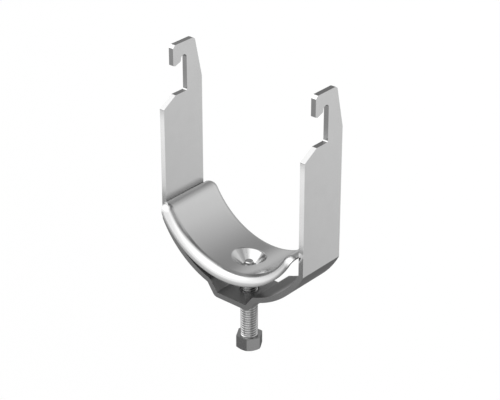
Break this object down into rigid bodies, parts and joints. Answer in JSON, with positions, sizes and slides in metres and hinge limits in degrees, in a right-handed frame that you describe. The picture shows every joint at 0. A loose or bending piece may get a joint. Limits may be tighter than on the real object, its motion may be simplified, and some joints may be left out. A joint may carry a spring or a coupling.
{
  "type": "rail-mounted pipe clamp",
  "caption": "Strap pipe clamp for a slotted rail: a folded strip with hooked legs, and a hexagon screw under it that pushes a rolled saddle up against the pipe.",
  "frame": {"origin": "midway between the legs and in the middle of the strip, at the height of the tops of the hooks' slots, where the hooks bear on the rail's edges", "axes": "+X from leg to leg, +Y along the clamped pipe and away from the hooks' mouths, +Z along the legs towards the rail"},
  "size_m": [0.082, 0.0356, 0.1403],
  "materials": {
    "strap_steel": "satin zinc-coated strip, brighter on the sheared edges",
    "saddle_steel": "smooth zinc-coated pressed sheet",
    "screw_steel": "zinc-plated screw"
  },
  "bodies": {
    "strap": {"clamp_strap": "strap_steel"},
    "saddle": {"pressure_saddle": "saddle_steel"},
    "screw": {"hex_screw": "screw_steel"}
  },
  "joints": [
    {"name": "saddle_lift", "type": "slide", "parent": "strap", "child": "saddle", "axis": [0, 0, 1], "range_m": [-0.00875, 0.01875]},
    {"name": "screw_turn", "type": "hinge", "parent": "saddle", "child": "screw", "pos_m": [0, 0, -0.1], "axis": [0, 0, 1], "range_deg": [-2520, 5400]}
  ],
  "couplings": [
    {"joint": "screw_turn", "follows": "saddle_lift", "rad_per_m": 5026.5}
  ]
}
